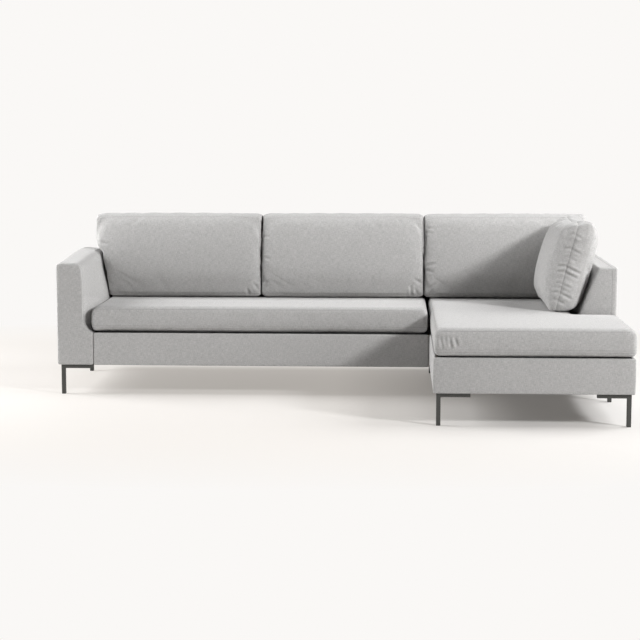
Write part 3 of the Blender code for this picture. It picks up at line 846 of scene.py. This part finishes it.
def build_seat(unit, seed, lift):
    """A box cushion with a seam along its top edge and two stitched rows near its bottom."""
    node, name = f"{unit}_seat_cushion", f"{unit}_seat_pad"
    low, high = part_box(node)
    cushion = cushion_from(node, name, voxel=0.0115, rounds=1)
    top_seam = high.z - TOP_SEAM_DROP
    near_seam = bell(points_of(cushion)[:, 2] - top_seam, TOP_SEAM_BAND)
    simulate(cushion, near_seam, swell=0.005, shrink=0.05)
    finer(cushion)
    press_seat(cushion, low, high, lift)
    fold_seat(cushion, low, top_seam, seed)
    if unit == "chaise":
        crease_chaise(cushion, low, high)
    line = section(cushion, (0, 0, top_seam), (0, 0, 1))
    seam(f"{name}_top_seam", cushion, line, node, radius=0.0007)
    for row, height in enumerate(STITCH_ROWS):
        line = section(cushion, (0, 0, low.z + height), (0, 0, 1))
        # A dark cord along each stitched row: painted shade for the row's shallow groove, which the mesh is
        # too coarse to carry
        seam(f"{name}_painted_groove_shade_{row + 1}", cushion, line, node, radius=0.0006)
        stitches(f"{name}_stitch_row_{row + 1}", cushion, line, node)


# Back cushions and side cushion: places on them are across, upward and through them, from their middle

# The band that a seam draws in, and its groove
SEAM_BAND = 0.014
RIM_START = 0.85
GROOVE_WIDTH = 0.006
GROOVE_DEPTH = 0.003
GROOVE_RIM = 0.03


def local_axes(node, across, upward):
    """The middle of a node along two directions and their normal, and its half sizes."""
    through = Vector(across).cross(Vector(upward))
    axes = np.array([across, upward, through], float)
    spans = np.array([tuple(vert.co) for vert in nodes[node].data.vertices]) @ axes.T
    low, high = spans.min(axis=0), spans.max(axis=0)
    return axes, (low + high) / 2, (high - low) / 2


def from_seams(places, seams):
    """How far points are from the nearest seam; a seam is a plane through the cushion, by its place."""
    return np.min([np.abs(places[:, 2] - place) for place in seams], axis=0)


def fold_upright(cushion, axes, middle, half, seams, seed, low_folds):
    """Folds a loose cushion along its seams and draws a groove where each seam runs."""
    places = points_of(cushion) @ axes.T - middle
    normals = normals_of(cushion) @ axes.T
    on_end = np.abs(normals[:, 0]) > np.abs(normals[:, 1])
    along = np.where(on_end, places[:, 1], places[:, 0])
    from_side = half[0] - np.abs(places[:, 0])
    from_rim = np.minimum(from_side, half[1] - np.abs(places[:, 1]))
    from_seam = from_seams(places, seams)
    distance = np.hypot(from_seam, np.maximum(from_rim, 0))
    near_side = np.clip(1.3 - from_side / 0.12, 0.15, 1)
    near_side *= low_folds + (1 - low_folds) * rise(places[:, 1] + half[1], 0.05, 0.16)
    pucker(cushion, distance, along, reach=0.045, depth=0.0035 * near_side, wave=0.028, seed=seed)
    pucker(cushion, distance, along, reach=0.09, depth=0.003 * near_side, wave=0.075, seed=seed + 1)
    groove = GROOVE_DEPTH * (bell(from_seam, GROOVE_WIDTH) * (from_rim < GROOVE_RIM))
    move_points(cushion, points_of(cushion) - normals_of(cushion) * groove[:, None])


def build_upright(node, name, across, upward, seams, voxel, swell, seed, low_folds=1.0):
    """A loose cushion, swollen and drawn in along its seams.

    Low folds is the share of their depth that the small folds keep near the cushion's bottom.
    """
    cushion = cushion_from(node, name, voxel, rounds=3)
    axes, middle, half = local_axes(node, across, upward)
    places = points_of(cushion) @ axes.T - middle
    rim = np.maximum(np.abs(places[:, 0]) / half[0], np.abs(places[:, 1]) / half[1])
    weights = bell(from_seams(places, seams), SEAM_BAND) * (rim > RIM_START)
    simulate(cushion, weights, swell, shrink=0.06)
    fit_to(cushion, axes, middle, half)
    finer(cushion)
    fold_upright(cushion, axes, middle, half, seams, seed, low_folds)
    return cushion, axes, middle, half


def finish_upright(cushion, name, node, axes, middle, seams, radius):
    """Sews the cushion's seams on its finished form."""
    plane = Vector(axes[2])
    for number, place in enumerate(seams):
        line = section(cushion, plane * (middle[2] + place), plane)
        seam(f"{name}_seam_{number + 1}", cushion, line, node, radius)


# Back cushions

# How deep in from its front and from its rear a back cushion's two seams run
FRONT_SEAM_INSET = 0.060
REAR_SEAM_INSET = 0.040

# Corner radii: at the ends of the row, between two cushions, and in depth
END_CORNER = 0.014
INNER_CORNER = 0.024
DEPTH_CORNER = 0.016

# Half the gap between two cushions, and the gap to the right arm
TOUCH = 0.0006
ARM_GAP = 0.004
SEAT_ABOVE_ARM_FOOT = 0.126

# The belly of a cushion's front: its depth, how it fades to the sides, and its fullest height
FRONT_BELLY = 0.015
BELLY_FADE = 2.5
BELLY_BEND = 1.3
BELLY_MIDDLE = -0.1

SEAT_GAP = 0.0007
PRESSED_HEIGHT = 0.08

# The left cushion's side, which swells over the arm: shares of the height, and steps from its inner face
OVER_ARM = ((0, 0.039), (0.125, 0.032), (0.25, 0.020), (0.375, 0.008), (0.49, -0.004), (0.585, -0.034),
            (0.70, -0.045), (0.88, -0.043), (1, -0.034))

# Short creases on the fronts: their two ends, across and upward in shares of the half size
BACK_CREASES = {
    "left": [((-0.99, 0.25), (-0.86, 0.19)), ((0.985, -0.55), (0.90, -0.72)), ((0.99, -0.9), (0.90, -0.70)),
             ((0.86, -0.99), (0.83, -0.84))],
    "middle": [((-0.99, 0.42), (-0.90, 0.38)), ((-0.99, -0.1), (-0.89, -0.16)),
               ((0.99, -0.72), (0.88, -0.60)), ((0.86, -0.99), (0.84, -0.76)),
               ((-0.99, -0.80), (-0.90, -0.66)), ((0.93, -0.97), (0.88, -0.80))],
    "right": [((-0.99, 0.60), (-0.88, 0.58)), ((-0.99, 0.52), (-0.90, 0.47)),
              ((-0.99, -0.30), (-0.85, -0.25)), ((-0.99, -0.40), (-0.88, -0.45)),
              ((-0.97, -0.86), (-0.86, -0.70))],
}


def bent(*places):
    """A side through the given pairs of a share of the length and a place."""
    shares, values = zip(*places)
    return lambda share: float(np.interp(share, shares, values))


def straight(place):
    """A side that keeps one place all along."""
    return lambda share: place


def settle_back(cushion, axes, middle, half, sides, corners):
    """Fills a back cushion between its neighbours, bellies its front and sits it on the seat."""
    places = points_of(cushion) @ axes.T
    for along, across, corner in ((1, 0, END_CORNER), (2, 0, DEPTH_CORNER), (0, 1, DEPTH_CORNER)):
        ends = (straight(end[across]) for end in (middle - half, middle + half))
        fill_sides(places, along, across, *ends, corner, corner)
    fill_sides(places, 1, 0, *sides, *corners)
    share = (places - middle) / half
    in_front = rise(share[:, 2], -0.2, 0.7)
    rounded = np.clip(1 - np.abs(share[:, 0]) ** BELLY_FADE, 0, 1)
    places[:, 2] += FRONT_BELLY * in_front * rounded * np.cos(BELLY_BEND * (share[:, 1] - BELLY_MIDDLE))
    points = places @ axes
    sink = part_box("left_back_cushion")[0].z - SEAT_AT_BACK - SEAT_GAP
    near_bottom = 1 - rise(points[:, 2], SEAT_AT_BACK, SEAT_AT_BACK + PRESSED_HEIGHT)
    points[:, 2] -= sink * near_bottom
    move_points(cushion, points)


def back_sides():
    """The left and the right side of each back cushion, between the arms and its neighbours."""
    boxes = {place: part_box(f"{place}_back_cushion") for place in BACK_CREASES}
    first, second = ((boxes[low][1].x + boxes[high][0].x) / 2
                     for low, high in (("left", "middle"), ("middle", "right")))
    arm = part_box("main_rear_cover")[0].x
    at_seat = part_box("right_arm_cover")[0].x + ARM_SLOPE * SEAT_ABOVE_ARM_FOOT - ARM_GAP
    return {
        "left": (bent(*((share, arm + step) for share, step in OVER_ARM)), straight(first - TOUCH)),
        "middle": (straight(first + TOUCH), straight(second - TOUCH)),
        "right": (straight(second + TOUCH), bent((0, at_seat), (1, boxes["right"][1].x))),
    }


def build_back_cushions():
    """Three box-edged back cushions that touch each other; the left one swells over the arm."""
    upward = Vector((0, BACK_SLOPE, 1)).normalized()
    for number, (place, sides) in enumerate(back_sides().items()):
        node, name = f"{place}_back_cushion", f"{place}_back_pad"
        low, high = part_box(node)
        depth = (high.y - low.y) / 2
        seams = (REAR_SEAM_INSET - depth, depth - FRONT_SEAM_INSET)
        cushion, axes, middle, half = build_upright(
            node, name, (1, 0, 0), upward, seams, voxel=0.0095, swell=0.010, seed=20 + 5 * number,
            low_folds=0.2)
        corners = [END_CORNER if place == end else INNER_CORNER for end in ("left", "right")]
        settle_back(cushion, axes, middle, half, sides, corners)
        for ends in BACK_CREASES[place]:
            start, end = ((middle + half * np.array([*mark, 1.0])) @ axes for mark in ends)
            crease(cushion, start, end, axes[2], width=0.0075, depth=0.0042)
        finish_upright(cushion, name, node, axes, middle, seams, radius=0.0006)


# Side cushion

SIDE_SEAMS = (-0.026,)

# The belly of its left side, and how it narrows in the last part of its height
SIDE_BELLY = 0.017
CORNER_PART = 0.30
CORNER_NARROWING = 0.22
CORNER_MIDDLE = 0.02

# Creases on its end towards the viewer: where each starts on the seam, its reach and its depth. On the
# seam's other side each goes on, weaker
SIDE_CREASES = ((0.66, 0.32, 0.003), (0.36, 0.45, 0.004), (0.18, 0.30, 0.003), (-0.02, 0.62, 0.006),
                (-0.14, 0.55, 0.005), (-0.38, 0.42, 0.004), (-0.58, 0.60, 0.005), (-0.74, 0.30, 0.004))
SIDE_CREASE_SEAM = -0.25
SIDE_CREASE_FALL = 0.1
OTHER_SIDE_RISE = 0.03
OTHER_SIDE_REACH = -0.6
OTHER_SIDE_DEPTH = 0.8


def shape_side_cushion(cushion, axes, middle, half):
    """Bellies the cushion's left side and narrows it to its top and bottom."""
    places = points_of(cushion) @ axes.T
    share = (places - middle) / half
    left = rise(-share[:, 2], -0.2, 0.8)
    upward_fade = np.clip(1 - share[:, 1] ** 2, 0, 1)
    across_fade = np.clip(1.2 - share[:, 0] ** 4, 0, 1)
    places[:, 2] -= SIDE_BELLY * left * upward_fade * across_fade
    corner = np.clip(np.abs(share[:, 1]) - (1 - CORNER_PART), 0, 1) / CORNER_PART
    places[:, 2] -= (places[:, 2] - middle[2] + CORNER_MIDDLE) * CORNER_NARROWING * corner ** 2
    move_points(cushion, places @ axes)


def crease_side_cushion(cushion, axes, middle, half):
    """Creases that run out from the seam on the cushion's end, to both sides of it."""
    for upright, reach, depth in SIDE_CREASES:
        halves = ((upright, reach, depth),
                  (upright + OTHER_SIDE_RISE, OTHER_SIDE_REACH * reach, depth * OTHER_SIDE_DEPTH))
        for height, run, deep in halves:
            marks = ([-1.0, height, SIDE_CREASE_SEAM],
                     [-1.0, height - SIDE_CREASE_FALL * reach, SIDE_CREASE_SEAM + run])
            start, end = ((middle + half * np.array(mark)) @ axes for mark in marks)
            crease(cushion, start, end, (0, -1, 0), width=0.0065, depth=deep)


def build_side_cushion():
    """The loose cushion on the right arm: creased across the seam on its end towards the viewer."""
    node, name = "side_cushion", "side_pad"
    upward = (sin(SIDE_LEAN), 0, cos(SIDE_LEAN))
    cushion, axes, middle, half = build_upright(
        node, name, (0, 1, 0), upward, SIDE_SEAMS, voxel=0.0075, swell=0.012, seed=51)
    shape_side_cushion(cushion, axes, middle, half)
    crease_side_cushion(cushion, axes, middle, half)
    finish_upright(cushion, name, node, axes, middle, SIDE_SEAMS, radius=0.0009)


# Finishes of the solids that stay as they are, by a word in their names

FINISHES = (
    ("leg", leg_metal), ("connector_plate", steel), ("webbing", webbing), ("deck_cloth", lining),
    ("dust_cover", lining), ("cover", cover_cloth), ("cushion", cushion_cloth),
)


def dress_solids():
    """Gives each solid its finish: timber, unless its name says otherwise."""
    for name, node in nodes.items():
        finish = next((finish for word, finish in FINISHES if word in name), timber)
        for slot in node.material_slots:
            slot.material = finish


# Studio

BACKGROUND = (0.956, 0.939, 0.922, 1)
FILL_COLOUR = (1.0, 0.985, 0.97, 1)
FILL_STRENGTH = 0.02

# The floor's paint, and the warm glow that it has for the eye near the sofa: painted light that lifts and
# warms the sofa's shadow on the floor
FLOOR = (0.684, 0.672, 0.660, 1)
FLOOR_GLOW = (1.0, 0.94, 0.873, 1)
FLOOR_HALF = 30.0

# The floor turns into the background over the rim of an oval round the sofa
OVAL_MIDDLE = (-0.3, 0.4, 0)
OVAL_SCALE = (0.55, 1.0, 0.0)


def seen_directly(tree):
    """One where the eye, a mirror or a pane looks at the studio, nought for the light that it throws."""
    path = tree.nodes.new("ShaderNodeLightPath")
    seen = path.outputs["Is Camera Ray"]
    for other in ("Is Glossy Ray", "Is Transmission Ray"):
        either = tree.nodes.new("ShaderNodeMath")
        either.operation = "MAXIMUM"
        tree.links.new(seen, either.inputs[0])
        tree.links.new(path.outputs[other], either.inputs[1])
        seen = either.outputs[0]
    return seen


def blend_shaders(tree, share, first, second, output):
    """Puts a blend of two shaders' outputs on a tree's output node."""
    blend = tree.nodes.new("ShaderNodeMixShader")
    for index, source in enumerate((share, first.outputs[0], second.outputs[0])):
        tree.links.new(source, blend.inputs[index])
    tree.links.new(blend.outputs[0], tree.nodes[output].inputs["Surface"])


def build_floor():
    """A wide pale floor that turns into the background's own tone away from the sofa. Near the sofa it keeps
    a warm glow for the eye: painted light over the sofa's shadow, weaker under the chaise so that the shadow
    stays darker there.
    """
    mesh = bpy.data.meshes.new("studio_floor")
    corners = [(x * FLOOR_HALF, y * FLOOR_HALF, 0) for x, y in ((-1, -1), (1, -1), (1, 1), (-1, 1))]
    mesh.from_pydata(corners, [], [(0, 1, 2, 3)])
    floor = place_in_scene("studio_floor", mesh)
    graph = Graph("studio_floor_paint")
    graph.shader.inputs["Base Color"].default_value = FLOOR
    graph.set(roughness=0.6)
    oval = graph.vector("MULTIPLY", graph.vector("SUBTRACT", graph.at, OVAL_MIDDLE), OVAL_SCALE)
    away = graph.spread(graph.vector("LENGTH", oval), low=1.3, high=2.6)
    # Painted light: near the sofa the eye sees a warm glow over the floor's shadow, which turns into the
    # background's tone far away
    glow = graph.add("ShaderNodeEmission", graph.mix(away, FLOOR_GLOW, BACKGROUND))
    x, _, _ = graph.split(graph.at)
    # Painted shade: less glow towards the chaise's side, so that the sofa's shadow on the floor is darker
    # under the chaise
    shadow_lift_share = graph.spread(x, low=0.0, high=0.9, new_low=0.414, new_high=0.13)
    share = graph.spread(away, 0.0, 1.0, new_low=shadow_lift_share)
    share = graph.times(share, seen_directly(graph.tree))
    blend_shaders(graph.tree, share, graph.shader, glow, "Material Output")
    mesh.materials.append(graph.material)


def build_world():
    """An even pale surround: the background's tone to the eye, and a plain fill light to the sofa."""
    world = bpy.data.worlds.new("studio")
    bpy.context.scene.world = world
    world.use_nodes = True
    tree = world.node_tree
    fill = tree.nodes["Background"]
    seen = tree.nodes.new("ShaderNodeBackground")
    for node, colour, strength in ((fill, FILL_COLOUR, FILL_STRENGTH), (seen, BACKGROUND, 1.0)):
        node.inputs["Color"].default_value = colour
        node.inputs["Strength"].default_value = strength
    blend_shaders(tree, seen_directly(tree), fill, seen, "World Output")


def add_light(name, energy, place, target, **settings):
    """One area lamp that shines from a place to a target."""
    lamp = bpy.data.lights.new(name, "AREA")
    lamp.energy = energy
    for key, value in settings.items():
        setattr(lamp, key, value)
    holder = place_in_scene(name, lamp)
    holder.location = place
    holder.rotation_euler = (Vector(target) - Vector(place)).to_track_quat("-Z", "Y").to_euler()


def build_lights():
    """A key from the right, and two broad lights above the sides and a low one from the left to fill."""
    middle = (0.1, 0.0, 0.45)
    broad = {"shape": "RECTANGLE", "size": 3.0, "size_y": 2.5}
    low = {"shape": "RECTANGLE", "size": 1.6, "size_y": 1.2}
    add_light("key", 640.0, (6.8, -5.0, 4.4), (0.4, -0.3, 0.4), shape="SQUARE", size=1.2)
    add_light("left_fill", 320.0, (-5.0, 0.5, 3.0), middle, **broad)
    add_light("right_fill", 215.0, (4.0, 0.3, 3.5), middle, **broad)
    add_light("low_fill", 60.0, (-4.5, -0.40, 0.85), (0.48, -0.5, 0.3), **low)


def build_camera():
    """The photograph's viewpoint."""
    camera = bpy.data.cameras.new("camera")
    camera.lens = CAMERA_LENS
    camera.sensor_width = 36.0
    camera.clip_end = 100.0
    holder = place_in_scene("camera", camera)
    holder.location = CAMERA_PLACE
    holder.rotation_euler = (pi / 2 - CAMERA_PITCH, 0, CAMERA_YAW)
    bpy.context.scene.camera = holder


bpy.context.scene.view_settings.view_transform = "Standard"
build_camera()
build_world()
build_lights()
build_floor()
dress_solids()
build_left_arm()
build_right_arm()
build_bases()
build_backs()
build_seat("main", seed=3, lift=0.019)
build_seat("chaise", seed=11, lift=0.008)
build_back_cushions()
build_side_cushion()
